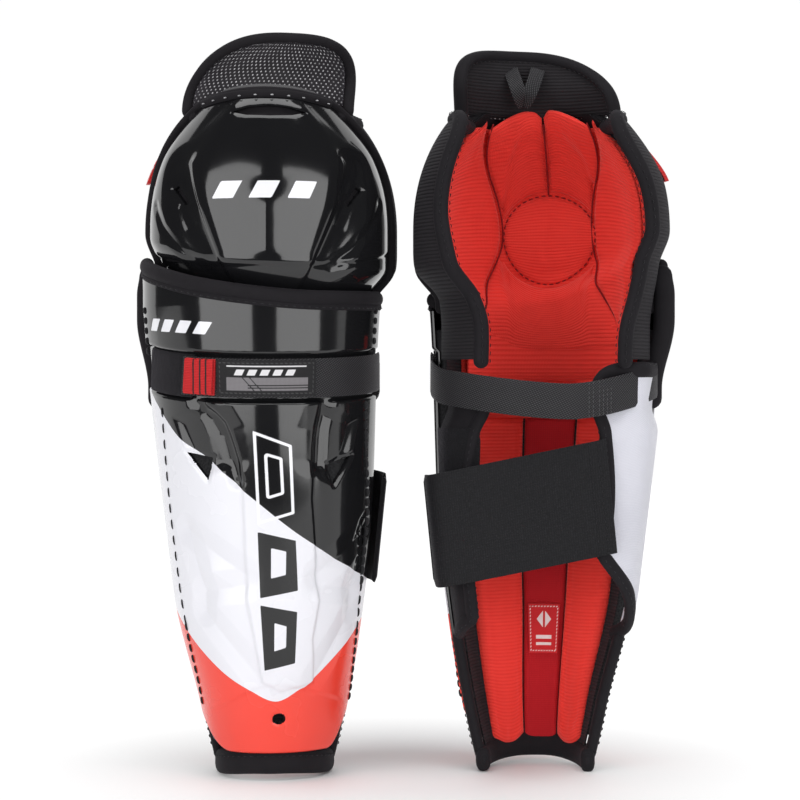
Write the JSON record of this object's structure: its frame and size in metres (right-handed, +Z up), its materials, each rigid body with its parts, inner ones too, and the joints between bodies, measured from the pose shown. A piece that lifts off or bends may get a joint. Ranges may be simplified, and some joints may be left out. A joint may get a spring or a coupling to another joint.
{
  "type": "hockey shin guards",
  "caption": "Ice hockey shin guards with a moulded knee cup and shin shell, a padded liner, folding wings, a thigh flap and hook-and-loop straps.",
  "frame": {"origin": "midway between the two guards, on the surface that their ankle ends stand on", "axes": "+Z up along the shins from the ankle ends to the thigh flaps, X from the first guard to the second, and the first guard's front faces -Y while the second's faces +Y"},
  "size_m": [0.2986, 0.143, 0.422],
  "materials": {
    "printed_shell": "high gloss, printed black, white and red",
    "black_shell": "high gloss",
    "black_tricot": "brushed tricot over foam",
    "foam": "closed-cell foam, matte",
    "red_knit": "ribbed knit over foam",
    "red_channel": "fine mesh, matte",
    "white_mesh": "open mesh over foam, black bound edge",
    "dotted_mesh": "knit mesh with pale dots",
    "webbing": "woven webbing",
    "elastic": "ribbed elastic",
    "loop_pile": "fuzzy loop pile",
    "thread": "heavy waxed thread",
    "woven_label": "woven, pale emblem",
    "strap_badge": "moulded, satin",
    "red_tab": "woven tape"
  },
  "bodies": {
    "front_shin": {"front_shin_shell": "printed_shell", "front_shin_foam": "foam", "front_shin_ribs": "red_knit", "front_shin_channel": "red_channel", "front_upper_shin_cushion": "red_knit", "front_ankle_binding": "black_tricot", "front_shin_top_roll": "black_tricot", "front_liner_label": "woven_label", "front_shell_stitching": "thread", "front_strap_loop_patch": "loop_pile", "front_rear_web_strap": "webbing"},
    "front_strap_tail": {"front_front_web_strap": "webbing", "front_strap_label": "strap_badge", "front_strap_pull_tab": "red_tab"},
    "front_calf_wing_outer": {"front_outer_calf_wing": "white_mesh"},
    "front_calf_wing_inner": {"front_inner_calf_wing": "black_tricot", "front_calf_loop_patch": "loop_pile"},
    "front_elastic": {"front_elastic_strap": "elastic", "front_elastic_hook_tab": "loop_pile"},
    "front_knee": {"front_knee_shell": "black_shell", "front_knee_foam": "black_tricot", "front_knee_side_cushions": "red_knit", "front_knee_top_cushions": "red_knit", "front_kneecap_pad": "red_knit"},
    "front_knee_wing_outer": {"front_outer_knee_wing": "black_tricot", "front_side_tab": "red_tab"},
    "front_knee_wing_inner": {"front_inner_knee_wing": "black_tricot"},
    "front_flap": {"front_thigh_flap": "dotted_mesh", "front_thigh_flap_binding": "black_tricot", "front_pull_loop": "webbing"},
    "back_shin": {"back_shin_shell": "printed_shell", "back_shin_foam": "foam", "back_shin_ribs": "red_knit", "back_shin_channel": "red_channel", "back_upper_shin_cushion": "red_knit", "back_ankle_binding": "black_tricot", "back_shin_top_roll": "black_tricot", "back_liner_label": "woven_label", "back_shell_stitching": "thread", "back_strap_loop_patch": "loop_pile", "back_rear_web_strap": "webbing"},
    "back_strap_tail": {"back_front_web_strap": "webbing", "back_strap_label": "strap_badge", "back_strap_pull_tab": "red_tab"},
    "back_calf_wing_outer": {"back_outer_calf_wing": "white_mesh"},
    "back_calf_wing_inner": {"back_inner_calf_wing": "black_tricot", "back_calf_loop_patch": "loop_pile"},
    "back_elastic": {"back_elastic_strap": "elastic", "back_elastic_hook_tab": "loop_pile"},
    "back_knee": {"back_knee_shell": "black_shell", "back_knee_foam": "black_tricot", "back_knee_side_cushions": "red_knit", "back_knee_top_cushions": "red_knit", "back_kneecap_pad": "red_knit"},
    "back_knee_wing_outer": {"back_outer_knee_wing": "black_tricot", "back_side_tab": "red_tab"},
    "back_knee_wing_inner": {"back_inner_knee_wing": "black_tricot"},
    "back_flap": {"back_thigh_flap": "dotted_mesh", "back_thigh_flap_binding": "black_tricot", "back_pull_loop": "webbing"}
  },
  "joints": [
    {"name": "front_knee_bend", "type": "hinge", "parent": "front_shin", "child": "front_knee", "pos_m": [-0.078, 0.015, 0.232], "axis": [-1, 0, 0], "range_deg": [0, 35]},
    {"name": "front_calf_wing_outer_fold", "type": "hinge", "parent": "front_shin", "child": "front_calf_wing_outer", "pos_m": [-0.12646, -0.00339, 0.078], "axis": [-0.0988, -0.0069, 0.9951], "range_deg": [0, 40]},
    {"name": "front_calf_wing_inner_fold", "type": "hinge", "parent": "front_shin", "child": "front_calf_wing_inner", "pos_m": [-0.03353, -0.00311, 0.078], "axis": [0.0988, -0.0069, 0.9951], "range_deg": [0, 20]},
    {"name": "front_elastic_peel", "type": "hinge", "parent": "front_calf_wing_outer", "child": "front_elastic", "pos_m": [-0.12, 0.0435, 0.158], "axis": [0.2079, 0, 0.9781], "range_deg": [0, 100]},
    {"name": "front_strap_peel", "type": "hinge", "parent": "front_shin", "child": "front_strap_tail", "pos_m": [-0.0116, -0.003, 0.228], "axis": [0, 0, 1], "range_deg": [0, 45]},
    {"name": "front_knee_wing_outer_fold", "type": "hinge", "parent": "front_knee", "child": "front_knee_wing_outer", "pos_m": [-0.1485, 0.0045, 0.311], "axis": [0, 0, 1], "range_deg": [0, 30]},
    {"name": "front_knee_wing_inner_fold", "type": "hinge", "parent": "front_knee", "child": "front_knee_wing_inner", "pos_m": [-0.022, 0.0045, 0.311], "axis": [0, 0, 1], "range_deg": [0, 14]},
    {"name": "front_flap_fold", "type": "hinge", "parent": "front_knee", "child": "front_flap", "pos_m": [-0.078, -0.036, 0.384], "axis": [-1, 0, 0], "range_deg": [-8, 50]},
    {"name": "back_knee_bend", "type": "hinge", "parent": "back_shin", "child": "back_knee", "pos_m": [0.078, -0.015, 0.232], "axis": [1, 0, 0], "range_deg": [0, 35]},
    {"name": "back_calf_wing_outer_fold", "type": "hinge", "parent": "back_shin", "child": "back_calf_wing_outer", "pos_m": [0.12646, 0.00339, 0.078], "axis": [0.0988, 0.0069, 0.9951], "range_deg": [0, 40]},
    {"name": "back_calf_wing_inner_fold", "type": "hinge", "parent": "back_shin", "child": "back_calf_wing_inner", "pos_m": [0.03353, 0.00311, 0.078], "axis": [-0.0988, 0.0069, 0.9951], "range_deg": [0, 20]},
    {"name": "back_elastic_peel", "type": "hinge", "parent": "back_calf_wing_outer", "child": "back_elastic", "pos_m": [0.12, -0.0435, 0.158], "axis": [-0.2079, 0, 0.9781], "range_deg": [0, 100]},
    {"name": "back_strap_peel", "type": "hinge", "parent": "back_shin", "child": "back_strap_tail", "pos_m": [0.0116, 0.003, 0.228], "axis": [0, 0, 1], "range_deg": [0, 45]},
    {"name": "back_knee_wing_outer_fold", "type": "hinge", "parent": "back_knee", "child": "back_knee_wing_outer", "pos_m": [0.1485, -0.0045, 0.311], "axis": [0, 0, 1], "range_deg": [0, 30]},
    {"name": "back_knee_wing_inner_fold", "type": "hinge", "parent": "back_knee", "child": "back_knee_wing_inner", "pos_m": [0.022, -0.0045, 0.311], "axis": [0, 0, 1], "range_deg": [0, 14]},
    {"name": "back_flap_fold", "type": "hinge", "parent": "back_knee", "child": "back_flap", "pos_m": [0.078, 0.036, 0.384], "axis": [1, 0, 0], "range_deg": [-8, 50]},
    {"name": "guards_apart", "type": "slide", "parent": "front_shin", "child": "back_shin", "axis": [1, 0, 0], "range_m": [0, 0.1]}
  ]
}
